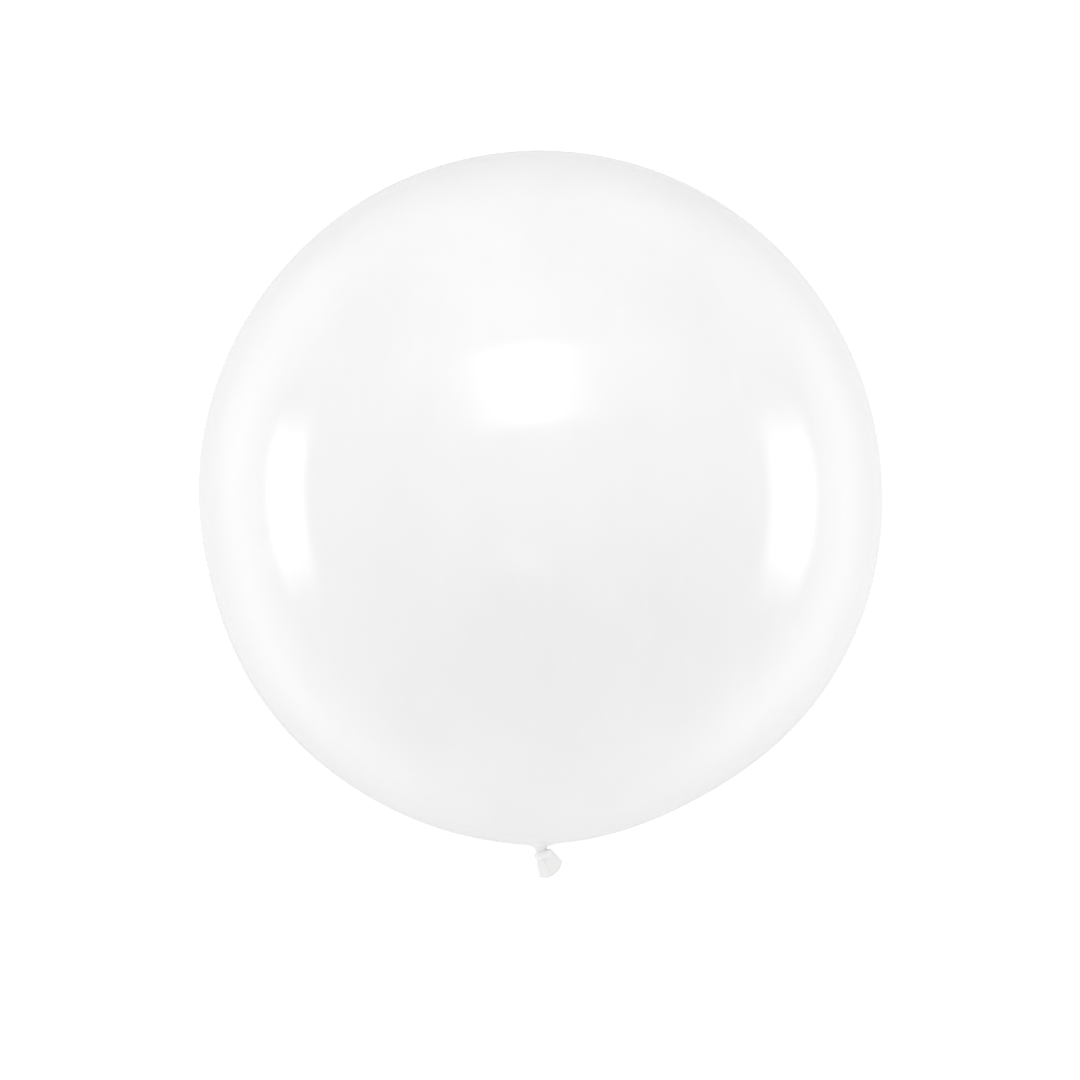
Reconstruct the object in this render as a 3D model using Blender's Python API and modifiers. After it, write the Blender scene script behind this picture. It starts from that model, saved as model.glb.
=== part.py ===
"""A giant round latex balloon, blown up to a metre across, tied in its own neck and lying on its side.

The balloon is one sheet of latex. The round body, the neck gathered below it, the overhand knot and the
flared end with its rolled lip are therefore one solid, which the knot seals. It is shaped upright, crown up
and neck down, about an axis that an empty then lays along Y: the crown points to +Y and the neck to -Y.
Metres, +Z up. The origin is the middle of the small flat spot that the balloon lies on.
"""

import math

import bmesh
import bpy
from mathutils import Vector

# The round body
BODY_DIAMETER = 1.000
BODY_LENGTH = 1.014
BODY_SEGMENTS = 80
BODY_RINGS = 42

# The body is a little slack round the neck and pulled in below its widest ring, more on one side (+X) than on
# the other. Angles are counted from the neck, and each depth is the mean followed by the one-sided share.
SLACK_ANGLE = math.radians(28)
SLACK_SPREAD = math.radians(20)
SLACK_DEPTH = 0.0061
SLACK_LEAN = 0.0037
WAIST_ANGLE = math.radians(76)
WAIST_SPREAD = math.radians(15)
WAIST_DEPTH = 0.0021
WAIST_LEAN = -0.0027

# The flat spot under the body, where the latex lies on the floor
REST_SPOT_DIAMETER = 0.120

# The gathered neck, from the body down to where the knot nips it
NECK_FLARE_DIAMETER = 0.034
NECK_ROOT_DIAMETER = 0.019
NECK_NIP_DIAMETER = 0.0145
NECK_LENGTH = 0.0080
NECK_LEAN = 0.002
NECK_PLEATS = 10
PLEAT_DEPTH = 0.0008

# The knot and the end below it hang askew, towards +X
TIE_TILT = math.radians(29)

# The overhand knot: a fat roll of latex round the neck, crossed by a strand in front and one behind
KNOT_WIDTH = 0.0300
KNOT_THICKNESS = 0.0215
KNOT_HEIGHT = 0.0125
KNOT_DROP = 0.0078
KNOT_SLOPE = math.radians(11)
KNOT_SEGMENTS = 28
STRAND_DIAMETER = 0.0095
STRAND_PROUD = 0.0012
STRAND_CLIMB = 0.0050
STRAND_POINTS = 9

# The flared end: the flattened mouth of the neck, from the middle of the knot to its rolled lip. It opens fast
# as it leaves the knot: END_OPENING is 1 for a slow opening and less for a faster one. The lip is bowed, as
# an arc where LIP_SQUARENESS is 2 and with squarer corners where it is more.
END_LENGTH = 0.0320
END_THROAT_WIDTH = 0.0335
END_WIDTH = 0.0390
END_GAP = 0.0085
END_LEAN = 0.0012
END_OPENING = 0.3
LIP_SQUARENESS = 2.6
END_SEGMENTS = 32
END_RINGS = 6
LATEX_WALL = 0.0006
LIP_DIAMETER = 0.0024
LIP_BOW = 0.0092
LIP_LEAN = 0.0022
RUFFLE_DEPTH = 0.0020
RUFFLE_WAVES = 1.5

# How far shapes that are joined run into each other
JOIN_DEPTH = 0.004

LATEX_COLOUR = (0.90, 0.90, 0.885, 1.0)
LATEX_ROUGHNESS = 0.16


def clear_scene():
    for old in list(bpy.data.objects):
        bpy.data.objects.remove(old, do_unlink=True)


def new_collection(name):
    made = bpy.data.collections.new(name)
    bpy.context.scene.collection.children.link(made)
    return made


def latex_material():
    latex = bpy.data.materials.new("white_latex")
    latex.use_nodes = True
    shader = latex.node_tree.nodes["Principled BSDF"]
    shader.inputs["Base Color"].default_value = LATEX_COLOUR
    shader.inputs["Roughness"].default_value = LATEX_ROUGHNESS
    shader.inputs["Metallic"].default_value = 0.0
    return latex


def add_object(name, data, collection, parent=None):
    made = bpy.data.objects.new(name, data)
    collection.objects.link(made)
    made.parent = parent
    return made


def add_helper(name, data, collection, parent=None):
    """An object that only cuts or joins."""
    helper = add_object(name, data, collection, parent)
    helper.hide_render = True
    helper.display_type = "WIRE"
    return helper


def as_mesh(name, shape):
    made = bpy.data.meshes.new(name)
    shape.to_mesh(made)
    shape.free()
    return made


def boolean(target, helper, operation):
    cut = target.modifiers.new(helper.name, "BOOLEAN")
    cut.operation = operation
    cut.object = helper
    cut.solver = "EXACT"


def bump(angle, centre, spread):
    """1 at the centre angle, falling off smoothly to either side."""
    return math.exp(-(((angle - centre) / spread) ** 2))


def body_radius(polar, azimuth):
    """The body's radius in a direction. polar is counted from the neck, azimuth from +X."""
    half_length = BODY_LENGTH / 2
    half_width = BODY_DIAMETER / 2
    ellipse = 1 / math.hypot(math.cos(polar) / half_length, math.sin(polar) / half_width)
    side = math.cos(azimuth)
    slack = bump(polar, SLACK_ANGLE, SLACK_SPREAD) * (SLACK_DEPTH + SLACK_LEAN * side)
    waist = bump(polar, WAIST_ANGLE, WAIST_SPREAD) * (WAIST_DEPTH + WAIST_LEAN * side)
    return ellipse - slack - waist


def underside_ring():
    """(height above the middle, radius) of the body's widest ring, measured along its underside."""
    underside = math.pi / 2
    steps = 720
    polars = [math.pi * step / steps for step in range(steps + 1)]
    widest = max(polars, key=lambda polar: body_radius(polar, underside) * math.sin(polar))
    radius = body_radius(widest, underside)
    return -radius * math.cos(widest), radius * math.sin(widest)


def neck_root():
    """Where the neck leaves the body, in the upright frame."""
    return Vector((0, 0, -body_radius(0, math.pi / 2)))


def nip_point():
    """The middle of the neck's narrowest place, just above the knot, in the upright frame."""
    return neck_root() + Vector((NECK_LEAN, 0, -NECK_LENGTH))


def tie_direction():
    """Which way the knot and the flared end hang, in the upright frame."""
    return Vector((math.sin(TIE_TILT), 0, -math.cos(TIE_TILT)))


def body_mesh():
    """The round body: a sphere whose points are moved out or in to the body's own radius."""
    shape = bmesh.new()
    bmesh.ops.create_uvsphere(shape, u_segments=BODY_SEGMENTS, v_segments=BODY_RINGS, radius=BODY_DIAMETER / 2)
    for vertex in shape.verts:
        direction = vertex.co.normalized()
        polar = math.acos(max(-1.0, min(1.0, -direction.z)))
        azimuth = math.atan2(direction.y, direction.x)
        vertex.co = direction * body_radius(polar, azimuth)
    made = as_mesh("balloon", shape)
    made.shade_smooth()
    return made


def poly_curve(name, points, closed=False):
    """A POLY curve through (position, radius share) points."""
    made = bpy.data.curves.new(name, "CURVE")
    made.dimensions = "3D"
    spline = made.splines.new("POLY")
    spline.points.add(len(points) - 1)
    for target, (position, share) in zip(spline.points, points):
        target.co = (*position, 1.0)
        target.radius = share
    spline.use_cyclic_u = closed
    made.use_fill_caps = not closed
    return made


def tube_curve(name, points, diameter, closed=False):
    """A round tube along the points."""
    made = poly_curve(name, [(point, 1.0) for point in points], closed)
    made.bevel_depth = diameter / 2
    made.bevel_resolution = 2
    return made


def curve_helper(name, curve, collection, parent):
    """The closed mesh that a curve sweeps, as a helper in the curve's place. The curve is removed."""
    swept = add_object(name, curve, collection, parent)
    bpy.context.view_layer.update()
    graph = bpy.context.evaluated_depsgraph_get()
    made = bpy.data.meshes.new_from_object(swept.evaluated_get(graph))
    shape = bmesh.new()
    shape.from_mesh(made)
    bmesh.ops.remove_doubles(shape, verts=shape.verts, dist=1e-6)
    bmesh.ops.recalc_face_normals(shape, faces=shape.faces)
    shape.to_mesh(made)
    shape.free()
    placed = swept.matrix_world.copy()
    bpy.data.objects.remove(swept)
    helper = add_helper(name, made, collection, parent)
    helper.matrix_world = placed
    return helper


def pleated_section():
    """The neck's section at one metre of radius: a circle gathered into pleats."""
    depth = PLEAT_DEPTH / (NECK_NIP_DIAMETER / 2)
    count = NECK_PLEATS * 4
    points = []
    for step in range(count):
        turn = math.tau * step / count
        reach = 1 - depth * (1 + math.cos(NECK_PLEATS * turn)) / 2
        points.append(((reach * math.cos(turn), reach * math.sin(turn), 0), 1.0))
    return poly_curve("neck_section", points, closed=True)


def neck_helper(collection, axis):
    """The gathered neck: the pleated section, narrowing from the body to the middle of the knot."""
    root = neck_root()
    nip = nip_point()
    into_body = Vector((0, 0, 3 * JOIN_DEPTH))
    into_knot = tie_direction() * (KNOT_DROP + JOIN_DEPTH)
    fillet_diameter = (NECK_FLARE_DIAMETER + 2 * NECK_ROOT_DIAMETER) / 3
    line = [
        (root + into_body, NECK_FLARE_DIAMETER / 2),
        (root + into_body / 12, NECK_FLARE_DIAMETER / 2),
        (root.lerp(nip, 0.1), fillet_diameter / 2),
        (root.lerp(nip, 0.35), NECK_ROOT_DIAMETER / 2),
        (nip, NECK_NIP_DIAMETER / 2),
        (nip + into_knot, NECK_NIP_DIAMETER / 2),
    ]
    section = add_object("neck_section", pleated_section(), collection)
    curve = poly_curve("neck", line)
    curve.bevel_mode = "OBJECT"
    curve.bevel_object = section
    neck = curve_helper("neck", curve, collection, axis)
    bpy.data.objects.remove(section)
    return neck


def knot_roll_helper(collection, tie):
    """The fat roll of latex drawn tight round the neck: an oval ring, a little askew."""
    roll_radius = KNOT_HEIGHT / 2
    ring_radius = 1.35 * roll_radius
    reach = roll_radius + ring_radius
    bpy.ops.mesh.primitive_torus_add(
        major_segments=KNOT_SEGMENTS, minor_segments=12, major_radius=ring_radius, minor_radius=roll_radius
    )
    ring = bpy.context.object
    made = ring.data
    bpy.data.objects.remove(ring)
    shape = bmesh.new()
    shape.from_mesh(made)
    oval = (KNOT_WIDTH / 2 / reach, KNOT_THICKNESS / 2 / reach, 1)
    bmesh.ops.scale(shape, vec=oval, verts=shape.verts)
    shape.to_mesh(made)
    shape.free()
    helper = add_helper("knot_roll", made, collection, tie)
    helper.location = (0, 0, -KNOT_DROP)
    helper.rotation_euler = (0, KNOT_SLOPE, 0)
    return helper


def knot_strand_helper(name, side, collection, tie):
    """A strand that crosses the roll, climbing to one side. side is -1 in front and 1 behind."""
    half_width = (KNOT_WIDTH - STRAND_DIAMETER) / 2
    half_depth = (KNOT_THICKNESS - STRAND_DIAMETER) / 2 + STRAND_PROUD
    points = []
    for step in range(STRAND_POINTS):
        turn = math.pi * (step / (STRAND_POINTS - 1) - 0.5)
        across = math.sin(turn)
        climb = -side * across * STRAND_CLIMB / 2
        points.append((half_width * across, side * half_depth * math.cos(turn), climb))
    strand = curve_helper(name, tube_curve(name, points, STRAND_DIAMETER), collection, tie)
    strand.location = (0, 0, -KNOT_DROP)
    strand.rotation_euler = (0, KNOT_SLOPE, 0)
    return strand


def end_point(turn, share):
    """A point on the flared end's outer side. turn goes round it, share from the knot (0) to the lip (1)."""
    across = math.cos(turn)
    opening = math.sin(share * math.pi / 2) ** END_OPENING
    width = END_THROAT_WIDTH + (END_WIDTH - END_THROAT_WIDTH) * share
    half_width = (NECK_NIP_DIAMETER + (width - NECK_NIP_DIAMETER) * opening) / 2
    ruffle = RUFFLE_DEPTH * share * math.cos(RUFFLE_WAVES * math.pi * (across + 1))
    bow = LIP_BOW * (1 - abs(across) ** LIP_SQUARENESS) - LIP_LEAN * across
    x = half_width * across - END_LEAN * share
    y = END_GAP / 2 * math.sin(turn) + ruffle
    drop = KNOT_DROP + share * (END_LENGTH - LIP_BOW + bow)
    return Vector((x, y, -drop))


def end_helper(collection, tie):
    """The flared end: an open sleeve, given the latex's thickness inwards."""
    shape = bmesh.new()
    bmesh.ops.create_cone(shape, cap_ends=False, segments=END_SEGMENTS, radius1=1.0, radius2=1.0, depth=1.0)
    uprights = [edge for edge in shape.edges if abs(edge.verts[0].co.z - edge.verts[1].co.z) > 0.5]
    bmesh.ops.subdivide_edges(shape, edges=uprights, cuts=END_RINGS - 1, use_grid_fill=True)
    for vertex in shape.verts:
        turn = math.atan2(vertex.co.y, vertex.co.x)
        vertex.co = end_point(turn, 0.5 - vertex.co.z)
    bmesh.ops.recalc_face_normals(shape, faces=shape.faces)
    end = add_helper("flared_end", as_mesh("flared_end", shape), collection, tie)
    wall = end.modifiers.new("latex_wall", "SOLIDIFY")
    wall.thickness = LATEX_WALL
    wall.offset = -1
    return end


def lip_helper(collection, tie):
    """The rolled lip round the mouth of the flared end, centred on its wall."""
    points = []
    for step in range(END_SEGMENTS):
        outer = end_point(math.tau * step / END_SEGMENTS, 1.0)
        inwards = (Vector((0, 0, outer.z)) - outer).normalized() * (LATEX_WALL / 2)
        points.append(outer + inwards)
    return curve_helper("rolled_lip", tube_curve("rolled_lip", points, LIP_DIAMETER, True), collection, tie)


def floor_helper(collection):
    """A block whose top is the floor, to cut the flat spot with."""
    shape = bmesh.new()
    bmesh.ops.create_cube(shape, size=BODY_DIAMETER)
    block = add_helper("floor_cut", as_mesh("floor_cut", shape), collection)
    block.location = (0, 0, -BODY_DIAMETER / 2)
    return block


def balloon_axis(collection):
    """The empty that lays the upright balloon on its side, its widest ring over the origin."""
    along, radius = underside_ring()
    height = math.sqrt(radius ** 2 - (REST_SPOT_DIAMETER / 2) ** 2)
    axis = add_object("balloon_axis", None, collection)
    axis.location = (0, -along, height)
    axis.rotation_euler = (-math.pi / 2, 0, 0)
    return axis


def tie_axis(collection, axis):
    """The empty at the neck's narrowest place, turned the way that the knot hangs."""
    tie = add_object("tie_axis", None, collection, axis)
    tie.location = nip_point()
    tie.rotation_euler = (0, -TIE_TILT, 0)
    return tie


def build_balloon():
    clear_scene()
    parts = new_collection("giant_latex_balloon")
    helpers = new_collection("helpers")
    axis = balloon_axis(parts)
    tie = tie_axis(parts, axis)
    neck = neck_helper(helpers, axis)
    boolean(neck, knot_roll_helper(helpers, tie), "UNION")
    boolean(neck, knot_strand_helper("front_strand", -1, helpers, tie), "UNION")
    boolean(neck, knot_strand_helper("back_strand", 1, helpers, tie), "UNION")
    boolean(neck, end_helper(helpers, tie), "UNION")
    boolean(neck, lip_helper(helpers, tie), "UNION")
    balloon = add_object("balloon", body_mesh(), parts, axis)
    balloon.data.materials.append(latex_material())
    boolean(balloon, neck, "UNION")
    boolean(balloon, floor_helper(helpers), "DIFFERENCE")


build_balloon()
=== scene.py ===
"""The looks of a giant round latex balloon that lies on a pale studio floor, seen from straight above.

The balloon is one sheet of latex, so it is one mesh: the round body runs into pleats at the neck, the neck
into the knot, and the knot into the flared end with its rolled lip. It is shaped upright, crown up (+Z) and
neck down, and then laid on its side, as the solid in the frame is. Metres throughout.
"""

import math
import random

import bmesh
import bpy
import numpy as np
from mathutils import Matrix, Vector


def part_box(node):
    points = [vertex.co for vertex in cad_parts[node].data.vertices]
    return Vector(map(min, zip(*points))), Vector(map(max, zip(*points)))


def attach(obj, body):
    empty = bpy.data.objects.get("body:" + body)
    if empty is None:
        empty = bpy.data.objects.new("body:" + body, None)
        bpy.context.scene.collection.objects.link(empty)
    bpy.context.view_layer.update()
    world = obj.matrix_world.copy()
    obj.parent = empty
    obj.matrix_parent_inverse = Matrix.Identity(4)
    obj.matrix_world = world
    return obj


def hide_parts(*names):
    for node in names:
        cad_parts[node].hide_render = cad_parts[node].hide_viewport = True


# The round body: an ellipse that is slack round the neck and pulled in a little below its widest ring. A lean
# makes that deeper towards +X, or towards -X where it is below zero. Angles are counted from the neck.
BODY_DIAMETER = 1.000
BODY_LENGTH = 1.014
SLACK_ANGLE = math.radians(28)
SLACK_SPREAD = math.radians(20)
SLACK_DEPTH = 0.0061
SLACK_LEAN = 0.0037
WAIST_ANGLE = math.radians(76)
WAIST_SPREAD = math.radians(15)
WAIST_DEPTH = 0.0021
WAIST_LEAN = -0.0027

# The body's mesh. Its rings crowd together from the gather angle to the neck.
BODY_TURNS = 320
BODY_ROWS = 86
GATHER_ANGLE = math.radians(17)
GATHER_ROWS = 46
CROWN_RING_ANGLE = 0.004
PROFILE_SAMPLES = 721
SHARP_ANGLE = math.radians(60)

# The thicker disc of latex at the crown, and how sharply it ends
CROWN_SPOT_RADIUS = 0.016
CROWN_SPOT_HEIGHT = 0.0007
CROWN_SPOT_EDGE = 4

# How softly the latex bends where it leaves the floor
REST_BEND_HEIGHT = 0.0012

# The neck: its fillet from the body, and the place where the knot nips it. A start is a share of the way from
# the body's edge to the nip. The handles shape the curve between them, as shares of the root's radius and of
# the neck's length.
FILLET_RADIUS = 0.024
FILLET_HANDLE = 1.3
NECK_ROOT_RADIUS = 0.0095
NECK_NIP_RADIUS = 0.0073
NECK_NIP_HANDLE = (0.90, 0.40)
NECK_LENGTH = 0.0080
NECK_LEAN = 0.002
NECK_LEAN_START = 0.25
NECK_TILT_START = 0.35
NECK_FLARE = 0.0007
NECK_FLARE_REACH = 0.012
NECK_ROWS = 34

# The pleats in the neck and on the body round it, and the fine wrinkles between them. Each one's place, reach
# and height vary by these shares.
PLEAT_COUNT = 15
PLEAT_DEPTH = 0.0011
PLEAT_REACH = 0.016
PLEAT_ON_BODY = 0.30
PLEAT_TWIST = math.radians(38)
TWIST_REACH = 0.02
WRINKLE_COUNT = 43
WRINKLE_DEPTH = 0.00016
WRINKLE_REACH = 0.030
PLEAT_WANDER = 0.26
PLEAT_ROUNDNESS = 0.7
PLEAT_REACHES = (0.5, 1.8)
PLEAT_HEIGHTS = (0.7, 1.15)

# The tie's frame has its origin where the neck is nipped, and -Z along the tie, away from the body
TIE_TILT = math.radians(29)

# The overhand knot: a fat roll round the neck, the strands that cross it in front and behind, and the pinched
# latex that fills its middle
KNOT_WIDTH = 0.0300
KNOT_THICKNESS = 0.0215
KNOT_HEIGHT = 0.0125
KNOT_DROP = 0.0078
KNOT_SLOPE = math.radians(11)
KNOT_FILLING = 0.42
KNOT_ROWS = 8
KNOT_VOXEL = 0.00036
ROLL_OPENING = 1.35
ROLL_ROWS = 110
STRAND_DIAMETER = 0.0092
STRAND_PROUD = 0.0017
STRAND_CLIMB = 0.0058
STRAND_TAPER = 0.15
STRAND_ROWS = 60
TUBE_SIDES = 72

# The creases that wind along the knot's rolls. Each row says how many go round the roll, how many times they
# wind along it, and their share of the depth.
CREASE_DEPTH = 0.0019
CREASES = ((4, 1, 0.36), (7, 2, 0.32), (12, 1, 0.20), (19, 3, 0.12))
CREASE_SWAY = 0.5
CREASE_SWAY_TURN = 0.7

# The flared end, from the middle of the knot to its rolled lip. A start is a share of its length, and so is
# the small step over which its slopes are measured.
END_LENGTH = 0.0320
END_THROAT_WIDTH = 0.0335
END_WIDTH = 0.0390
END_GAP = 0.0085
END_LEAN = 0.0012
END_OPENING = 0.3
OUTER_WALL_START = 0.02
INNER_WALL_START = 0.22
LATEX_WALL = 0.0006
LIP_DIAMETER = 0.0024
LIP_CURL = math.radians(150)
LIP_ROOM = 1.1
LIP_BOW = 0.0092
LIP_LEAN = 0.0022
LIP_SQUARENESS = 2.6
MOUTH_TAPER = 0.35
MOUTH_PINCH = 0.25
END_TURNS = 220
END_ROWS = 34
LIP_ROWS = 12
SLOPE_STEP = 1e-3

# The ruffle of the flared end, and its folds, which fade in and out at shares of its length. Each row of
# folds says how many go round it, and their share of the depth.
RUFFLE_DEPTH = 0.0018
RUFFLE_WAVES = 1.5
WANDER_DEPTH = 0.25
WANDER_WAVES = 3.3
WANDER_TURN = 1.1
END_FOLDS = ((5, 0.34), (9, 0.36), (14, 0.30))
END_FOLD_DEPTH = 0.0013
END_FOLD_START = (0.04, 0.26)
END_FOLD_FADE = (0.2, 1.0)
END_FOLD_LOSS = 0.88

# The latex's colours, and how much of one shows over the others
THIN_FILM = (0.812, 0.812, 0.812, 1)
THICK_FILM = (0.828, 0.828, 0.827, 1)
# Lighter than the film where the latex is dense; at the tie partly painted light, against its shade
DENSE_LATEX_AND_PAINTED_LIGHT = (0.878, 0.877, 0.872, 1)
TALC = (0.86, 0.86, 0.86, 1)
RUN_SHADE = 0.11
GATHER_SHADE = 0.5
TALC_SHADE = 0.14

# How rough the taut latex is, and what each of the others adds to that
GLOSS_ROUGHNESS = (0.075, 0.105)
TALC_ROUGHNESS = 0.05
MOTTLE_ROUGHNESS = 0.02
GATHER_ROUGHNESS = 0.08
DENSE_ROUGHNESS = 0.22

# How far the denser latex reaches from the neck's root and from the crown
GATHER_REACH = 0.10
TIE_FADE = (0.001, 0.009)
CROWN_SPOT_FADE = (0.005, 0.020)

# The latex's patterns: how fine each is, how far it is drawn out along the balloon, and between which values
# of its noise it shows
CLOUD_SCALE = 3.2
CLOUD_STRETCH = (1, 0.5, 1)
CLOUD_RANGE = (0.35, 0.65)
CLOUD_GLOSS_RANGE = (0.3, 0.7)
RUN_SCALE = 21
RUN_STRETCH = (1, 0.06, 1)
RUN_RANGE = (0.52, 0.75)
MOTTLE_SCALE = 26
MOTTLE_RANGE = (0.4, 0.8)
TALC_SCALE = 5.5
TALC_RANGE = (0.50, 0.72)

# The latex's fine relief: a faint orange peel all over, lines along the gathers, and grain where it is dense
PEEL_SCALE = 150
PEEL_HEIGHT = 0.00002
LINE_SCALE = 620
LINE_STRETCH = (1, 0.16, 1)
LINE_HEIGHT = 0.00012
GRAIN_SCALE = 1400
GRAIN_HEIGHT = 0.00003

# The floor. Light is counted against white paper, which is 1, and a reach is where a change starts and ends.
# The camera sees plain white paper with a painted glow past the balloon's shade, running into the studio's
# backdrop. The latex mirrors paper with painted shade behind the crown and painted light on both sides.
FLOOR_SIZE = 24.0
FLOOR_GAP = 0.0003
FLOOR_WHITE = 0.88
PAPER_ROUGHNESS = 0.9
PAPER_REACH = (1.2, 2.6)
# The paper's painted glow, which the camera sees past the balloon's soft shade
PAPER_PAINTED_GLOW = 0.24
PAPER_PAINTED_GLOW_REACH = (0.20, 0.50)
# Painted shade in the paper behind the crown, which only the latex mirrors
BACK_PAINTED_SHADE = 0.48
BACK_PAINTED_SHADE_REACH = (0.20, 1.30)
# Painted light on both sides of the paper, which only the latex mirrors
SIDE_PAINTED_LIGHT = 0.80
SIDE_PAINTED_LIGHT_TURN = 1.3
SIDE_PAINTED_LIGHT_REACH = (0.80, 1.6)
SIDE_PAINTED_LIGHT_FAR = 0.5
SIDE_PAINTED_LIGHT_FAR_REACH = (2.0, 5.0)

# The studio's walls and ceiling. The camera sees one plain backdrop in their place.
BACKDROP = 0.76
SKY_ABOVE = 0.99
SKY_FRONT = 1.02
SKY_BACK = 0.45
SKY_BACK_REACH = (-0.3, 1.0)
SKY_SIDES = 0.25

# The lamps: one softbox that lights, and lit panes that show as mirror images in the latex. A softness is
# how much of a pane, from its edge inwards, fades out.
BODY_MIDDLE = (0, 0, 0.5)
TOP_LAMP = (-0.10, 2.2, 2.0)
TOP_LAMP_SIZE = (1.6, 1.2)
TOP_POWER = 19.0
TOP_PANE = (-0.15, 1.37, 2.6)
TOP_PANE_AIM = (0, 0.17, 0.97)
TOP_PANE_SIZE = (2.35, 1.35)
TOP_SHINE = 3.6
TOP_SOFTNESS = (1.0, 0.35)
FRONT_PANE = (-0.3, -1.0, 3.4)
FRONT_PANE_AIM = (0, -0.08, 0.99)
FRONT_PANE_SIZE = (0.9, 0.6)
FRONT_SHINE = 1.7
FRONT_SOFTNESS = (0.9, 0.9)
SIDE_PANE_DISTANCE = 1.5
LEFT_PANE_PLACE = (-0.05, 0.73)
LEFT_PANE_SIZE = (1.35, 0.54)
RIGHT_PANE_PLACE = (-0.05, 0.76)
RIGHT_PANE_SIZE = (1.45, 0.66)
SIDE_SHINE = 4.5
SIDE_SOFTNESS = (0.8, 0.5)

# The camera looks straight down, with the crown at the top of the picture
PICTURE_PIXELS = 1080
BODY_MIDDLE_PIXEL = (539.9, 497.8)
BODY_WIDTH_PIXELS = 684
CAMERA_DISTANCE = 12.0
CAMERA_SIGHT = 100.0
SENSOR_WIDTH = 36.0


def smoothstep(low, high, value):
    """A smooth change from 0 to 1 while the value goes from low to high."""
    share = np.clip((value - low) / (high - low), 0.0, 1.0)
    return share * share * (3 - 2 * share)


def bump(angle, centre, spread):
    """1 at the centre angle, falling off smoothly to either side."""
    return np.exp(-(((angle - centre) / spread) ** 2))


def body_radius(polar, azimuth):
    """The body's radius in a direction. polar is counted from the neck, azimuth from +X."""
    ellipse = 1 / np.hypot(2 * np.cos(polar) / BODY_LENGTH, 2 * np.sin(polar) / BODY_DIAMETER)
    side = np.cos(azimuth)
    slack = bump(polar, SLACK_ANGLE, SLACK_SPREAD) * (SLACK_DEPTH + SLACK_LEAN * side)
    waist = bump(polar, WAIST_ANGLE, WAIST_SPREAD) * (WAIST_DEPTH + WAIST_LEAN * side)
    return ellipse - slack - waist


def root_height():
    """How high the neck's root is in the upright frame: below the middle of the body, so negative."""
    return -float(body_radius(0.0, math.pi / 2))


def finished_mesh(name, shape):
    """Turns a bmesh into a mesh and frees it."""
    made = bpy.data.meshes.new(name)
    shape.to_mesh(made)
    shape.free()
    return made


def ring_mesh(name, rows, close_rows=False):
    """A closed mesh from rings of points. The rings join up in rows, and the ends are capped unless the last
    ring joins the first."""
    turns = rows.shape[1]
    shape = bmesh.new()
    rings = [[shape.verts.new(point) for point in ring] for ring in rows]
    pairs = list(zip(rings, rings[1:]))
    if close_rows:
        pairs.append((rings[-1], rings[0]))
    for ring, following in pairs:
        for step in range(turns):
            after = (step + 1) % turns
            shape.faces.new((ring[step], ring[after], following[after], following[step]))
    if not close_rows:
        for ring in (rings[0], rings[-1]):
            middle = shape.verts.new(sum((vertex.co for vertex in ring), Vector()) / turns)
            for step in range(turns):
                shape.faces.new((ring[step], ring[(step + 1) % turns], middle))
    bmesh.ops.recalc_face_normals(shape, faces=shape.faces)
    return finished_mesh(name, shape)


def square_mesh(name, half_side):
    """A flat square that faces up."""
    shape = bmesh.new()
    bmesh.ops.create_grid(shape, x_segments=1, y_segments=1, size=half_side)
    return finished_mesh(name, shape)


def add_object(name, data):
    """Puts a mesh, lamp or camera in the scene."""
    made = bpy.data.objects.new(name, data)
    bpy.context.scene.collection.objects.link(made)
    return made


def pleat_wave(azimuth, distance, count, reach, seed):
    """Round folds between sharp valleys, each of its own width, height and reach. 0 in a valley, about 1 on a
    fold, and fading to 0 away from the neck. distance is counted from the neck's root, outwards."""
    draw = random.Random(seed)
    valleys = [
        math.tau * (step + draw.uniform(-PLEAT_WANDER, PLEAT_WANDER)) / count for step in range(count)
    ]
    wave = np.zeros(np.broadcast(azimuth, distance).shape)
    turned = np.mod(azimuth, math.tau)
    for step, valley in enumerate(valleys):
        following = valleys[(step + 1) % count]
        width = (following - valley) % math.tau
        along = np.mod(turned - valley, math.tau) / width
        fold = np.sin(np.pi * np.clip(along, 0, 1)) ** PLEAT_ROUNDNESS
        fade = np.exp(-np.maximum(distance, 0) / (reach * draw.uniform(*PLEAT_REACHES)))
        wave += np.where(along < 1, fold * fade * draw.uniform(*PLEAT_HEIGHTS), 0)
    return wave


def neck_twist(root_distance):
    """How far the pleats are turned about the neck by the tying, at a distance from the neck's root."""
    return PLEAT_TWIST * np.exp(-np.maximum(root_distance, 0) / TWIST_REACH)


def pleat_growth(root_distance):
    """The pleats stand low on the taut body and grow to their full depth in the neck."""
    in_neck = 1 - smoothstep(0.0, FILLET_RADIUS - NECK_ROOT_RADIUS, root_distance)
    return PLEAT_ON_BODY + (1 - PLEAT_ON_BODY) * in_neck


def gather_height(turns, root_distance):
    """How far the gathered latex stands up from the smooth form: its pleats, and the fine wrinkles between
    them."""
    turned = turns + neck_twist(root_distance)
    pleats = pleat_wave(turned, root_distance, PLEAT_COUNT, PLEAT_REACH, seed=3)
    wrinkles = pleat_wave(turned, root_distance, WRINKLE_COUNT, WRINKLE_REACH, seed=8)
    return PLEAT_DEPTH * pleats * pleat_growth(root_distance) + WRINKLE_DEPTH * wrinkles


def bezier(points, share):
    """Points on a cubic Bezier curve."""
    a, b, c, d = (np.array(point) for point in points)
    s = share[:, None]
    return a * (1 - s) ** 3 + 3 * b * s * (1 - s) ** 2 + 3 * c * s ** 2 * (1 - s) + d * s ** 3


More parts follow.
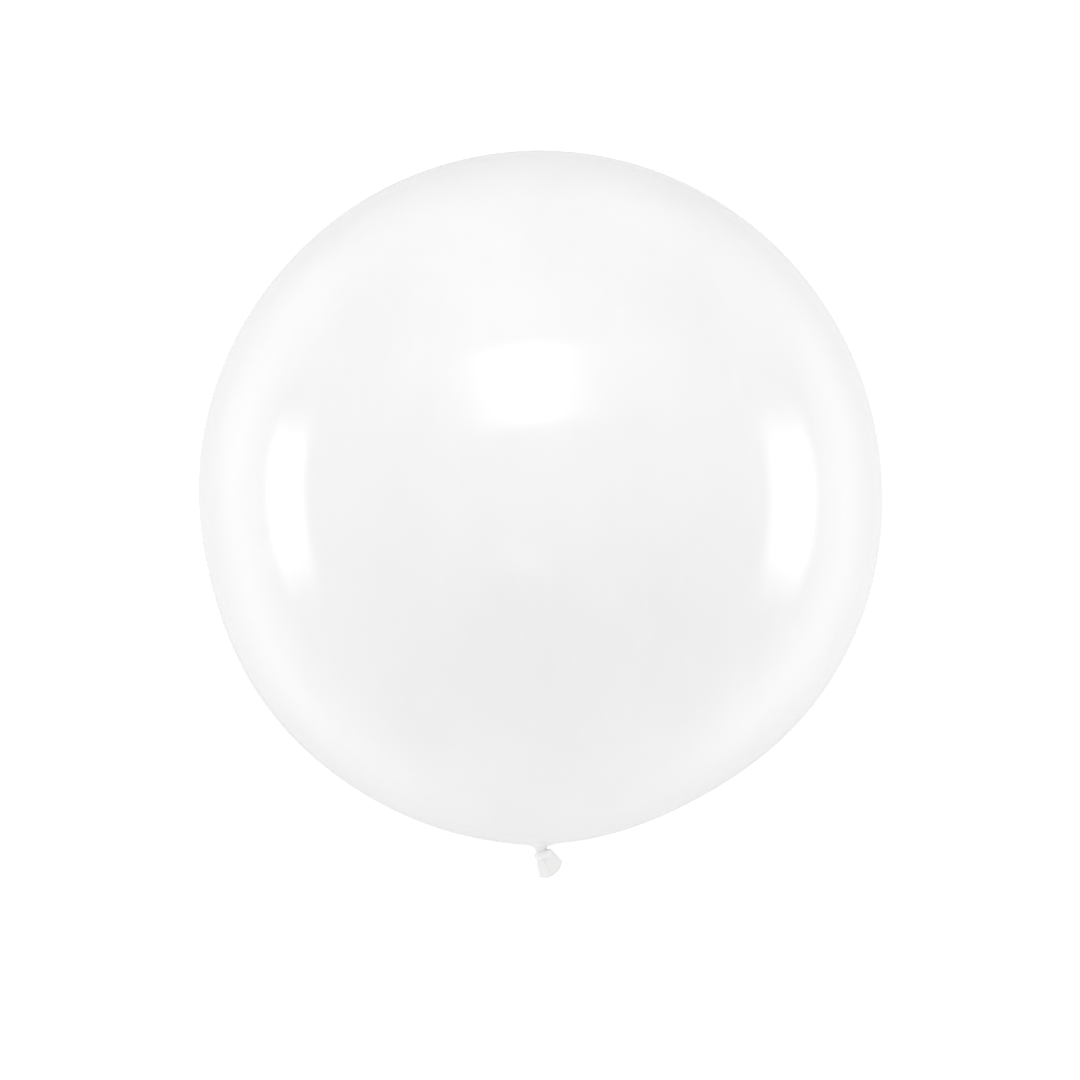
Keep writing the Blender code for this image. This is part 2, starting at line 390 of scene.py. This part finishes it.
def body_rings(turns):
    """The rings of the round body in the upright frame, from the crown to where the neck's fillet starts.
    They crowd towards the neck, where the pleats are."""
    start = FILLET_RADIUS / (BODY_LENGTH / 2)
    wide = np.linspace(math.pi - CROWN_RING_ANGLE, GATHER_ANGLE, BODY_ROWS, endpoint=False)
    polar = np.concatenate([wide, np.geomspace(GATHER_ANGLE, start, GATHER_ROWS)])[:, None]
    azimuth = turns[None, :]
    from_crown = (math.pi - polar) * BODY_LENGTH / 2
    thick = CROWN_SPOT_HEIGHT * np.exp(-((from_crown / CROWN_SPOT_RADIUS) ** CROWN_SPOT_EDGE))
    root_distance = np.sin(polar) * BODY_LENGTH / 2 - NECK_ROOT_RADIUS
    flare = NECK_FLARE * np.exp((NECK_ROOT_RADIUS + root_distance - FILLET_RADIUS) / -NECK_FLARE_REACH)
    near_neck = polar < math.pi / 2
    folds = np.where(near_neck, gather_height(azimuth, root_distance) + flare, 0)
    reach = body_radius(polar, azimuth) + thick + folds
    height = -reach * np.cos(polar)
    across = reach * np.sin(polar)
    return np.stack([across * np.cos(azimuth), across * np.sin(azimuth), height], axis=-1)


def neck_stations(edge_radius, edge_height, slope):
    """The neck's rings, each with its middle, its tilt and its radius, from the edge of the body through the
    nip and into the knot."""
    root = root_height()
    share = np.linspace(0, 1, NECK_ROWS)
    turn_in = NECK_ROOT_RADIUS * FILLET_HANDLE
    nip_radius_handle, nip_length_handle = NECK_NIP_HANDLE
    profile = bezier(
        [
            (edge_radius, edge_height),
            (turn_in, edge_height - slope * (edge_radius - turn_in)),
            (NECK_ROOT_RADIUS * nip_radius_handle, root - NECK_LENGTH * nip_length_handle),
            (NECK_NIP_RADIUS, root - NECK_LENGTH),
        ],
        share,
    )
    lean = NECK_LEAN * smoothstep(NECK_LEAN_START, 1.0, share)
    tilt = TIE_TILT / 2 * smoothstep(NECK_TILT_START, 1.0, share)
    stations = [((x, 0, height), turn, radius) for x, turn, (radius, height) in zip(lean, tilt, profile)]
    nip = Vector((NECK_LEAN, 0, root - NECK_LENGTH))
    into_knot = Vector((math.sin(TIE_TILT), 0, -math.cos(TIE_TILT)))
    for step in range(1, KNOT_ROWS + 1):
        turn = TIE_TILT / 2 * (1 + min(1.0, 2 * step / KNOT_ROWS))
        stations.append((tuple(nip + into_knot * step / KNOT_ROWS * KNOT_DROP), turn, NECK_NIP_RADIUS))
    return stations


def neck_rings(turns, body):
    """The rings of the neck in the upright frame, on from the body's last one."""
    spread = np.hypot(body[:, :, 0], body[:, :, 1]).mean(axis=1)
    height = body[:, :, 2].mean(axis=1)
    slope = (height[-2] - height[-1]) / (spread[-2] - spread[-1])
    rings = []
    for middle, tilt, radius in neck_stations(spread[-1], height[-1], slope):
        root_distance = radius - NECK_ROOT_RADIUS
        fold = gather_height(turns, root_distance)
        flat = smoothstep(NECK_ROOT_RADIUS, FILLET_RADIUS, radius)
        reach = radius + (fold - PLEAT_DEPTH / 2) * (1 - flat)
        x = reach * np.cos(turns)
        y = reach * np.sin(turns)
        z = -fold * flat
        ring = np.stack(
            [
                middle[0] + x * math.cos(tilt) - z * math.sin(tilt),
                middle[1] + y,
                middle[2] + x * math.sin(tilt) + z * math.cos(tilt),
            ],
            axis=-1,
        )
        if not rings:
            gap = body[-1] - ring
        rings.append(ring + gap * flat ** 2)
    return np.array(rings[1:])


def skin_object():
    """The round body and its neck, closed inside the knot."""
    turns = np.linspace(0, math.tau, BODY_TURNS, endpoint=False)
    body = body_rings(turns)
    rings = np.concatenate([body, neck_rings(turns, body)])
    return add_object("balloon_latex", ring_mesh("balloon_latex", rings))


def creases(around, along, seed):
    """Creases that wind along a roll of gathered latex, from 0 in a crease to about 1 between two."""
    draw = random.Random(seed)
    height = np.zeros(np.broadcast(around, along).shape)
    for count, winding, share in CREASES:
        phase = draw.uniform(0, math.tau)
        sway = CREASE_SWAY * math.sin(count * CREASE_SWAY_TURN + phase) * np.sin(along + phase)
        height += share * np.abs(np.sin((count * around + winding * along + phase + sway) / 2))
    return height


def creased_tube(name, middles, outwards, radius, closed, seed):
    """A creased roll of latex along a line of points. outwards are the directions that its section starts
    from."""
    around = np.linspace(0, math.tau, TUBE_SIDES, endpoint=False)
    count = len(middles)
    rings = []
    for step in range(count):
        before = middles[step - 1] if closed or step > 0 else middles[step]
        after = middles[(step + 1) % count] if closed or step < count - 1 else middles[step]
        tangent = (after - before).normalized()
        out = (outwards[step] - tangent * outwards[step].dot(tangent)).normalized()
        side = tangent.cross(out)
        along = math.tau * step / count
        fullness = radius - CREASE_DEPTH * (1 - creases(around, along, seed))
        taper = 1.0 if closed else math.sqrt(max(STRAND_TAPER, math.sin(math.pi * (step + 0.5) / count)))
        ring = [
            middles[step] + (out * math.cos(turn) + side * math.sin(turn)) * float(reach) * taper
            for turn, reach in zip(around, fullness)
        ]
        rings.append([tuple(point) for point in ring])
    return ring_mesh(name, np.array(rings), close_rows=closed)


def knot_roll():
    """The fat roll round the neck: a creased ring squeezed into an oval."""
    roll_radius = KNOT_HEIGHT / 2
    ring_radius = ROLL_OPENING * roll_radius
    reach = roll_radius + ring_radius
    turns = [math.tau * step / ROLL_ROWS for step in range(ROLL_ROWS)]
    outwards = [Vector((math.cos(turn), math.sin(turn), 0)) for turn in turns]
    middles = [out * ring_radius for out in outwards]
    made = creased_tube("knot_roll", middles, outwards, roll_radius, closed=True, seed=9)
    made.transform(Matrix.Diagonal((KNOT_WIDTH / 2 / reach, KNOT_THICKNESS / 2 / reach, 1, 1)))
    return made


def knot_strand(name, side, seed):
    """A strand that crosses the roll, climbing to one side. side is -1 in front and 1 behind."""
    half_width = (KNOT_WIDTH - STRAND_DIAMETER) / 2
    half_depth = (KNOT_THICKNESS - STRAND_DIAMETER) / 2 + STRAND_PROUD
    middles = []
    outwards = []
    for step in range(STRAND_ROWS):
        turn = math.pi * (step / (STRAND_ROWS - 1) - 0.5)
        across = math.sin(turn)
        climb = -side * across * STRAND_CLIMB / 2
        middles.append(Vector((half_width * across, side * half_depth * math.cos(turn), climb)))
        outwards.append(Vector((across, side * math.cos(turn), 0)))
    return creased_tube(name, middles, outwards, STRAND_DIAMETER / 2, closed=False, seed=seed)


def knot_core():
    """The pinched latex inside the roll, which fills its middle."""
    shape = bmesh.new()
    bmesh.ops.create_uvsphere(shape, u_segments=48, v_segments=24, radius=KNOT_HEIGHT * KNOT_FILLING)
    return finished_mesh("knot_core", shape)


def joined(name, meshes):
    """One object that holds all the meshes."""
    shape = bmesh.new()
    for mesh in meshes:
        shape.from_mesh(mesh)
    return add_object(name, finished_mesh(name, shape))


def evaluated_mesh(obj):
    """The object's mesh as its modifiers leave it."""
    graph = bpy.context.evaluated_depsgraph_get()
    return bpy.data.meshes.new_from_object(obj.evaluated_get(graph))


def knot_object():
    """The knot in the tie's frame, its rolls run together into one skin."""
    strands = [knot_strand("front_strand", -1, seed=12), knot_strand("back_strand", 1, seed=11)]
    knot = joined("knot", [knot_roll(), *strands, knot_core()])
    remesh = knot.modifiers.new("one_skin", "REMESH")
    remesh.mode = "VOXEL"
    remesh.voxel_size = KNOT_VOXEL
    relax = knot.modifiers.new("relax", "SMOOTH")
    relax.factor = 0.5
    relax.iterations = 2
    knot.data = evaluated_mesh(knot)
    knot.modifiers.clear()
    knot.data.transform(Matrix.Translation((0, 0, -KNOT_DROP)) @ Matrix.Rotation(KNOT_SLOPE, 4, "Y"))
    return knot


def flat_loop(turn, half_width, half_gap):
    """Points evenly spaced round a flattened loop with round ends, as (across, side) in metres."""
    radius = np.minimum(half_gap, half_width)
    straight = half_width - radius
    quarter = straight + radius * np.pi / 2
    along = np.mod(turn / math.tau, 1.0) * 4 * quarter
    part = np.floor(along / quarter)
    run = along - part * quarter
    back = np.where(part % 2 == 0, run, quarter - run)
    bend = np.minimum(back / radius, np.pi / 2)
    across = straight + radius * np.cos(bend) - np.maximum(back - radius * np.pi / 2, 0)
    side = radius * np.sin(bend)
    left = (part == 1) | (part == 2)
    below = part >= 2
    return np.where(left, -across, across), np.where(below, -side, side)


def end_folds(turn, seed):
    """Round folds of several widths with narrow valleys between them, round the flared end, from -1 to 1."""
    draw = random.Random(seed)
    height = 0.0
    for count, share in END_FOLDS:
        height = height + share * np.abs(np.sin((count * turn + draw.uniform(0, math.tau)) / 2))
    return 2 * height - 1


def end_surface(turn, share):
    """Points in the middle of the flared end's wall. turn goes round it, share from the knot (0) to the lip
    (1)."""
    opening = np.sin(share * np.pi / 2) ** END_OPENING
    width = END_THROAT_WIDTH + (END_WIDTH - END_THROAT_WIDTH) * share
    nip = 2 * NECK_NIP_RADIUS
    half_width = (nip + (width - nip) * opening) / 2 - LATEX_WALL / 2
    half_gap = (END_GAP / 2 - LATEX_WALL / 2) * (1 - MOUTH_PINCH * share)
    x, y = flat_loop(turn, half_width, half_gap)
    across = x / half_width
    y = y * (1 - MOUTH_TAPER * share * across ** 4)
    wander = WANDER_DEPTH * np.cos(WANDER_WAVES * np.pi * across + WANDER_TURN)
    ruffle = RUFFLE_DEPTH * share * (np.cos(RUFFLE_WAVES * np.pi * (across + 1)) + wander)
    bow = LIP_BOW * (1 - np.abs(across) ** LIP_SQUARENESS) - LIP_LEAN * across
    gathered = smoothstep(*END_FOLD_START, share) * (1 - END_FOLD_LOSS * smoothstep(*END_FOLD_FADE, share))
    folds = END_FOLD_DEPTH * gathered * end_folds(turn, seed=11)
    side = y / (END_GAP / 2)
    z = -(KNOT_DROP + share * (END_LENGTH - LIP_BOW + bow))
    return np.stack(np.broadcast_arrays(x - END_LEAN * share, y + ruffle + folds * side, z), axis=-1)


def unit(vectors):
    """Each vector at a length of 1."""
    return vectors / np.linalg.norm(vectors, axis=-1, keepdims=True)


def end_object():
    """The flared end: its outer wall, its rolled lip and its inner wall, closed inside the knot."""
    turn = np.linspace(0, math.tau, END_TURNS, endpoint=False)
    step = SLOPE_STEP
    last = 1 - LIP_ROOM * LIP_DIAMETER / 2 / (END_LENGTH - LIP_BOW)
    outer = []
    inner = []
    for share in np.linspace(OUTER_WALL_START, last, END_ROWS):
        middle = end_surface(turn, share)
        away = end_surface(turn, share + step) - end_surface(turn, share - step)
        out = unit(np.cross(end_surface(turn + step, share) - end_surface(turn - step, share), -away))
        outer.append(middle + out * LATEX_WALL / 2)
        inner.append(middle - out * LATEX_WALL / 2)
    middle = end_surface(turn, 1.0)
    round_it = end_surface(turn + step, 1.0) - end_surface(turn - step, 1.0)
    out = unit(np.cross(round_it, end_surface(turn, 1.0 - step) - middle))
    away = unit(np.cross(round_it, out))
    lip = []
    for angle in np.linspace(LIP_CURL, -LIP_CURL, LIP_ROWS):
        lip.append(middle + (away * math.cos(angle) + out * math.sin(angle)) * LIP_DIAMETER / 2)
    innermost = int(END_ROWS * INNER_WALL_START)
    rings = np.array(outer + lip + inner[:innermost:-1])
    return add_object("flared_end", ring_mesh("flared_end", rings, close_rows=True))


def tie_matrix():
    """From the tie's frame to the upright frame."""
    nip = Vector((NECK_LEAN, 0, root_height() - NECK_LENGTH))
    return Matrix.Translation(nip) @ Matrix.Rotation(-TIE_TILT, 4, "Y")


def weld(target, helper):
    """Joins the helper's solid to the target's."""
    union = target.modifiers.new(helper.name, "BOOLEAN")
    union.operation = "UNION"
    union.object = helper
    union.solver = "EXACT"
    target.data = evaluated_mesh(target)
    target.modifiers.clear()
    bpy.data.objects.remove(helper)


def laid_matrix(low, high):
    """From the upright frame to the balloon's place in the frame: on its side, crown to +Y, with the top of
    the body at the top of the box."""
    polar = np.linspace(0, math.pi, PROFILE_SAMPLES)
    reach = body_radius(polar, -math.pi / 2) * np.sin(polar)
    top = float(reach.max())
    crown = float(body_radius(math.pi, 0.0))
    middle = Vector((0, high.y - crown, high.z - top))
    return Matrix.Translation(middle) @ Matrix.Rotation(-math.pi / 2, 4, "X")


def rest_on_floor(mesh):
    """Flattens what would lie below the floor, with a soft bend where the latex leaves it."""
    count = len(mesh.vertices)
    points = np.empty(count * 3)
    mesh.vertices.foreach_get("co", points)
    points = points.reshape(count, 3)
    height = points[:, 2]
    bend = REST_BEND_HEIGHT
    soft = (height + bend) ** 2 / (4 * bend)
    points[:, 2] = np.where(height <= -bend, 0.0, np.where(height < bend, soft, height))
    mesh.vertices.foreach_set("co", points.ravel())
    mesh.update()


def balloon_piece(low, high):
    """The whole balloon as one skin, where it lies."""
    balloon = skin_object()
    for part in (knot_object(), end_object()):
        part.data.transform(tie_matrix())
        weld(balloon, part)
    balloon.data.transform(laid_matrix(low, high))
    rest_on_floor(balloon.data)
    balloon.data.shade_smooth()
    balloon.data.set_sharp_from_angle(angle=SHARP_ANGLE)
    return balloon


def feed(tree, value, socket):
    """Links a socket to another, or sets it to a plain number."""
    if isinstance(value, bpy.types.NodeSocket):
        tree.links.new(value, socket)
    else:
        socket.default_value = value


def math_node(tree, operation, *values):
    """The result of a math node."""
    node = tree.nodes.new("ShaderNodeMath")
    node.operation = operation
    for value, socket in zip(values, node.inputs):
        feed(tree, value, socket)
    return node.outputs[0]


def multiply(tree, *values):
    """The product of several values."""
    result = values[0]
    for value in values[1:]:
        result = math_node(tree, "MULTIPLY", result, value)
    return result


def add(tree, *values):
    """The sum of several values."""
    result = values[0]
    for value in values[1:]:
        result = math_node(tree, "ADD", result, value)
    return result


def vector_node(tree, operation, *values):
    """The result of a vector math node. A value may be a socket or three numbers. DISTANCE and LENGTH give a
    number."""
    node = tree.nodes.new("ShaderNodeVectorMath")
    node.operation = operation
    for value, socket in zip(values, node.inputs):
        feed(tree, value, socket)
    return node.outputs["Value" if operation in ("DISTANCE", "LENGTH") else "Vector"]


def remap(tree, value, reach, result):
    """A smooth change from result[0] to result[1] while the value goes through its reach."""
    node = tree.nodes.new("ShaderNodeMapRange")
    node.interpolation_type = "SMOOTHSTEP"
    feed(tree, value, node.inputs["Value"])
    for socket, number in zip(("From Min", "From Max", "To Min", "To Max"), (*reach, *result)):
        feed(tree, number, node.inputs[socket])
    return node.outputs["Result"]


def object_place(tree):
    """Where a point of the surface is, in the object's own metres."""
    return tree.nodes.new("ShaderNodeTexCoord").outputs["Object"]


def separate(tree, vector):
    """The X, Y and Z of a vector."""
    node = tree.nodes.new("ShaderNodeSeparateXYZ")
    tree.links.new(vector, node.inputs[0])
    return tuple(node.outputs)


def noise(tree, place, scale, detail):
    """Soft noise, about 0.5 on the whole."""
    node = tree.nodes.new("ShaderNodeTexNoise")
    tree.links.new(place, node.inputs["Vector"])
    node.inputs["Scale"].default_value = scale
    node.inputs["Detail"].default_value = detail
    return node.outputs["Fac"]


def drawn_noise(tree, place, stretch, scale, detail):
    """Noise that is drawn out along an axis, the further the smaller that axis's number in stretch is."""
    return noise(tree, vector_node(tree, "MULTIPLY", place, stretch), scale, detail)


def mix_colour(tree, share, first, second):
    """The first colour where the share is 0, and the second where it is 1."""
    node = tree.nodes.new("ShaderNodeMix")
    node.data_type = "RGBA"
    feed(tree, share, node.inputs["Factor"])
    feed(tree, first, node.inputs["A"])
    feed(tree, second, node.inputs["B"])
    return node.outputs["Result"]


def latex_patterns(tree, middle, root, crown):
    """What varies over the latex. The tie, the gathers round the neck and the spot at the crown are less
    stretched, so denser. Clouds, runs, mottle and talc go all over."""
    place = object_place(tree)
    way = vector_node(tree, "NORMALIZE", vector_node(tree, "SUBTRACT", place, middle))
    below_root = math_node(tree, "SUBTRACT", root.y, separate(tree, place)[1])
    tie = remap(tree, below_root, TIE_FADE, (0, 1))
    root_distance = vector_node(tree, "DISTANCE", place, root)
    spot = remap(tree, vector_node(tree, "DISTANCE", place, crown), CROWN_SPOT_FADE, (1, 0))
    return {
        "tie": tie,
        "gathers": remap(tree, root_distance, (GATHER_REACH, FILLET_RADIUS), (0, 1)),
        "dense": math_node(tree, "MAXIMUM", tie, spot),
        "clouds": drawn_noise(tree, way, CLOUD_STRETCH, CLOUD_SCALE, detail=4),
        "runs": drawn_noise(tree, way, RUN_STRETCH, RUN_SCALE, detail=3),
        "mottle": noise(tree, way, MOTTLE_SCALE, detail=4),
        "talc": remap(tree, noise(tree, way, TALC_SCALE, detail=6), TALC_RANGE, (0, 1)),
        "peel": noise(tree, way, PEEL_SCALE, detail=2),
        "lines": drawn_noise(tree, place, LINE_STRETCH, LINE_SCALE, detail=3),
        "grain": noise(tree, place, GRAIN_SCALE, detail=2),
    }


def latex_colour(tree, latex):
    """Cloudy white, with faint runs, creamier where it is dense, under a bloom of talc. The tie is
    also painted lighter, against the shade it lies in.
    """
    colour = THIN_FILM
    for share, shade in (
        (remap(tree, latex["clouds"], CLOUD_RANGE, (0, 1)), THICK_FILM),
        (remap(tree, latex["runs"], RUN_RANGE, (0, RUN_SHADE)), DENSE_LATEX_AND_PAINTED_LIGHT),
        (multiply(tree, latex["gathers"], GATHER_SHADE), DENSE_LATEX_AND_PAINTED_LIGHT),
        # At the tie this lighter colour is partly painted light, against the shade it lies in
        (latex["dense"], DENSE_LATEX_AND_PAINTED_LIGHT),
        (multiply(tree, latex["talc"], TALC_SHADE), TALC),
    ):
        colour = mix_colour(tree, share, colour, shade)
    return colour


def latex_roughness(tree, latex):
    """Glossy where it is taut, and rougher under the talc, in the gathers and where it is dense."""
    return add(
        tree,
        remap(tree, latex["clouds"], CLOUD_GLOSS_RANGE, GLOSS_ROUGHNESS),
        remap(tree, latex["mottle"], MOTTLE_RANGE, (0, MOTTLE_ROUGHNESS)),
        multiply(tree, latex["talc"], TALC_ROUGHNESS),
        multiply(tree, latex["gathers"], GATHER_ROUGHNESS),
        multiply(tree, latex["dense"], DENSE_ROUGHNESS),
    )


def latex_relief(tree, latex):
    """The height of the fine relief, in metres."""
    drawn_up = math_node(tree, "MAXIMUM", latex["tie"], latex["gathers"])
    return add(
        tree,
        multiply(tree, latex["peel"], PEEL_HEIGHT),
        multiply(tree, latex["lines"], drawn_up, LINE_HEIGHT),
        multiply(tree, latex["grain"], latex["dense"], GRAIN_HEIGHT),
    )


def latex_material(middle, root, crown):
    """White latex blown up taut: glossy, cloudy where it stretched unevenly, with faint runs along its length
    from the dipping and a bloom of talc. It is denser, rougher and creamier at the tie and at the crown; at
    the tie it is also painted lighter, against the shade it lies in."""
    material = bpy.data.materials.new("white_latex")
    material.use_nodes = True
    tree = material.node_tree
    shader = tree.nodes["Principled BSDF"]
    latex = latex_patterns(tree, middle, root, crown)
    tree.links.new(latex_colour(tree, latex), shader.inputs["Base Color"])
    tree.links.new(latex_roughness(tree, latex), shader.inputs["Roughness"])
    relief = tree.nodes.new("ShaderNodeBump")
    relief.inputs["Strength"].default_value = 1.0
    relief.inputs["Distance"].default_value = 1.0
    tree.links.new(latex_relief(tree, latex), relief.inputs["Height"])
    tree.links.new(relief.outputs["Normal"], shader.inputs["Normal"])
    return material


def white_paper():
    """The floor's paper. The camera sees it plain, with the balloon's soft shade near the spot and a painted
    glow past that. The latex mirrors it with painted shade behind the crown, painted light on both sides."""
    paper = bpy.data.materials.new("white_paper")
    paper.use_nodes = True
    tree = paper.node_tree
    shader = tree.nodes["Principled BSDF"]
    shader.inputs["Roughness"].default_value = PAPER_ROUGHNESS
    shader.inputs["Specular IOR Level"].default_value = 0.0
    shader.inputs["Emission Color"].default_value = (1, 1, 1, 1)
    place = object_place(tree)
    across, along = separate(tree, place)[:2]
    distance = vector_node(tree, "LENGTH", place)
    seen = tree.nodes.new("ShaderNodeLightPath").outputs["Is Camera Ray"]

    near_balloon = remap(tree, distance, PAPER_REACH, (1, 0))
    plain = multiply(tree, near_balloon, FLOOR_WHITE)
    # Painted shade: to all rays but the camera's, the paper is darker behind the crown
    painted_shade_colour = remap(tree, along, BACK_PAINTED_SHADE_REACH, (FLOOR_WHITE, BACK_PAINTED_SHADE))
    tree.links.new(remap(tree, seen, (0, 1), (painted_shade_colour, plain)), shader.inputs["Base Color"])

    # Painted light: to the camera the paper glows past the balloon's soft shade, then runs into the backdrop
    glow = remap(tree, distance, PAPER_PAINTED_GLOW_REACH, (0, PAPER_PAINTED_GLOW))
    painted_glow_and_backdrop = remap(tree, near_balloon, (0, 1), (BACKDROP, glow))
    # Painted light: to all rays but the camera's, the paper glows on both sides
    sideways = math_node(tree, "DIVIDE", math_node(tree, "ABSOLUTE", across), distance)
    sideways = math_node(tree, "POWER", sideways, SIDE_PAINTED_LIGHT_TURN)
    near = remap(tree, distance, SIDE_PAINTED_LIGHT_REACH, (0, SIDE_PAINTED_LIGHT))
    far = remap(tree, distance, SIDE_PAINTED_LIGHT_FAR_REACH, (1, SIDE_PAINTED_LIGHT_FAR))
    painted_side_light = multiply(tree, sideways, near, far)
    tree.links.new(remap(tree, seen, (0, 1), (painted_side_light, painted_glow_and_backdrop)), shader.inputs["Emission Strength"])
    return paper


def add_floor():
    """White paper, just under what lies on it."""
    sheet = square_mesh("floor", FLOOR_SIZE / 2)
    sheet.materials.append(white_paper())
    floor = add_object("floor", sheet)
    floor.location.z = -FLOOR_GAP


def aimed(middle, aim):
    """The turn that points a lamp at what it lights."""
    return (Vector(middle) - Vector(aim)).to_track_quat("Z", "Y").to_euler()


def add_softbox(name, middle, aim, size, power):
    """A lamp that lights softly and isn't itself mirrored in the latex."""
    light = bpy.data.lights.new(name, "AREA")
    light.shape = "RECTANGLE"
    light.size, light.size_y = size
    light.energy = power
    softbox = add_object(name, light)
    softbox.location = middle
    softbox.rotation_euler = aimed(middle, aim)
    softbox.visible_camera = False
    softbox.visible_glossy = False


def soft_pane_group():
    """1 over the middle of a pane, falling softly to 0 at its sides and ends. The pane's own coordinates run
    from -1 to 1."""
    group = bpy.data.node_groups.new("soft_pane", "ShaderNodeTree")
    group.interface.new_socket("Side Softness", in_out="INPUT", socket_type="NodeSocketFloat")
    group.interface.new_socket("End Softness", in_out="INPUT", socket_type="NodeSocketFloat")
    group.interface.new_socket("Light", in_out="OUTPUT", socket_type="NodeSocketFloat")
    given = group.nodes.new("NodeGroupInput")
    result = group.nodes.new("NodeGroupOutput")
    across, along = separate(group, object_place(group))[:2]
    fades = []
    for way, softness in ((across, "Side Softness"), (along, "End Softness")):
        inwards = math_node(group, "SUBTRACT", 1.0, math_node(group, "ABSOLUTE", way))
        share = math_node(group, "DIVIDE", inwards, given.outputs[softness])
        fades.append(remap(group, share, (0, 1), (0, 1)))
    group.links.new(multiply(group, *fades), result.inputs["Light"])
    return group


def pane_glow(name, soft_pane, brightness, softness):
    """Light that is brightest in the middle of a pane and clear at its edges."""
    glow = bpy.data.materials.new(name)
    glow.use_nodes = True
    tree = glow.node_tree
    tree.nodes.remove(tree.nodes["Principled BSDF"])
    light = tree.nodes.new("ShaderNodeEmission")
    clear = tree.nodes.new("ShaderNodeBsdfTransparent")
    mixed = tree.nodes.new("ShaderNodeMixShader")
    edges = tree.nodes.new("ShaderNodeGroup")
    edges.node_tree = soft_pane
    edges.inputs["Side Softness"].default_value = softness[0]
    edges.inputs["End Softness"].default_value = softness[1]
    light.inputs["Strength"].default_value = brightness
    tree.links.new(edges.outputs["Light"], mixed.inputs["Fac"])
    tree.links.new(clear.outputs[0], mixed.inputs[1])
    tree.links.new(light.outputs[0], mixed.inputs[2])
    tree.links.new(mixed.outputs[0], tree.nodes["Material Output"].inputs["Surface"])
    return glow


def add_pane(name, soft_pane, middle, aim, size, brightness, softness):
    """A lit pane that only shows as its mirror image in the latex."""
    sheet = square_mesh(name, 1)
    sheet.materials.append(pane_glow(name, soft_pane, brightness, softness))
    pane = add_object(name, sheet)
    pane.location = middle
    pane.rotation_euler = aimed(middle, aim)
    pane.scale = (size[0] / 2, size[1] / 2, 1)
    for sight in ("visible_camera", "visible_diffuse", "visible_shadow", "visible_transmission"):
        setattr(pane, sight, False)


def add_sky():
    """White walls and ceiling all round: a little brighter on both sides, darker behind the crown."""
    world = bpy.data.worlds.new("studio_sky")
    world.use_nodes = True
    tree = world.node_tree
    across, back, up = separate(tree, tree.nodes.new("ShaderNodeTexCoord").outputs["Generated"])
    seen = tree.nodes.new("ShaderNodeLightPath").outputs["Is Camera Ray"]
    low = remap(tree, back, SKY_BACK_REACH, (SKY_FRONT, SKY_BACK))
    low = add(tree, multiply(tree, across, across, SKY_SIDES), low)
    sky = remap(tree, up, (0, 1), (low, SKY_ABOVE))
    tree.links.new(remap(tree, seen, (0, 1), (sky, BACKDROP)), tree.nodes["Background"].inputs["Strength"])
    tree.nodes["Background"].inputs["Color"].default_value = (1, 1, 1, 1)
    bpy.context.scene.world = world


def add_lamps():
    """The softbox over the crown, and the panes above and on both sides."""
    add_softbox("top_softbox", TOP_LAMP, BODY_MIDDLE, TOP_LAMP_SIZE, TOP_POWER)
    soft_pane = soft_pane_group()
    add_pane("top_pane", soft_pane, TOP_PANE, TOP_PANE_AIM, TOP_PANE_SIZE, TOP_SHINE, TOP_SOFTNESS)
    add_pane(
        "front_pane", soft_pane, FRONT_PANE, FRONT_PANE_AIM, FRONT_PANE_SIZE, FRONT_SHINE, FRONT_SOFTNESS
    )
    for name, side, (along, height), size in (
        ("left_pane", -1, LEFT_PANE_PLACE, LEFT_PANE_SIZE),
        ("right_pane", 1, RIGHT_PANE_PLACE, RIGHT_PANE_SIZE),
    ):
        middle = (side * SIDE_PANE_DISTANCE, along, height)
        add_pane(name, soft_pane, middle, (0, along, height), size, SIDE_SHINE, SIDE_SOFTNESS)


def add_camera(low, high):
    """The camera looks straight down, through a lens that makes the body fill its share of the picture."""
    middle = laid_matrix(low, high).translation
    across = high.x - low.x
    scale = across / BODY_WIDTH_PIXELS
    half_picture = PICTURE_PIXELS / 2
    spread = 1 / math.sqrt(1 - (across / 2 / CAMERA_DISTANCE) ** 2)
    offset_x = (half_picture - BODY_MIDDLE_PIXEL[0]) * scale
    offset_y = (BODY_MIDDLE_PIXEL[1] - half_picture) * scale
    picture_width = PICTURE_PIXELS * scale * spread
    camera = bpy.data.cameras.new("camera")
    camera.sensor_width = SENSOR_WIDTH
    camera.lens = SENSOR_WIDTH * CAMERA_DISTANCE / picture_width
    camera.clip_end = CAMERA_SIGHT
    placed = add_object("camera", camera)
    placed.location = (middle.x + offset_x, middle.y + offset_y, middle.z + CAMERA_DISTANCE)
    bpy.context.scene.camera = placed
    bpy.context.scene.view_settings.view_transform = "Standard"


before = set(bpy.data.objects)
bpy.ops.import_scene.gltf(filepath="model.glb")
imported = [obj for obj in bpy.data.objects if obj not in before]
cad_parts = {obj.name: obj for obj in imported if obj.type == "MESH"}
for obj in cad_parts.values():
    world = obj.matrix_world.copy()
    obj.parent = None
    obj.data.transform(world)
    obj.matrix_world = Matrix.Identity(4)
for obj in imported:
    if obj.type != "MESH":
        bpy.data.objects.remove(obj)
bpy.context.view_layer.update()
box_low, box_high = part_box("balloon")
balloon_latex = balloon_piece(box_low, box_high)
body_middle = laid_matrix(box_low, box_high).translation
neck_root = body_middle + Vector((0, root_height(), 0))
crown_middle = Vector((0, box_high.y, body_middle.z))
balloon_latex.data.materials.clear()
balloon_latex.data.materials.append(latex_material(body_middle, neck_root, crown_middle))
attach(balloon_latex, "root")
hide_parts("balloon")
add_floor()
add_sky()
add_lamps()
add_camera(box_low, box_high)
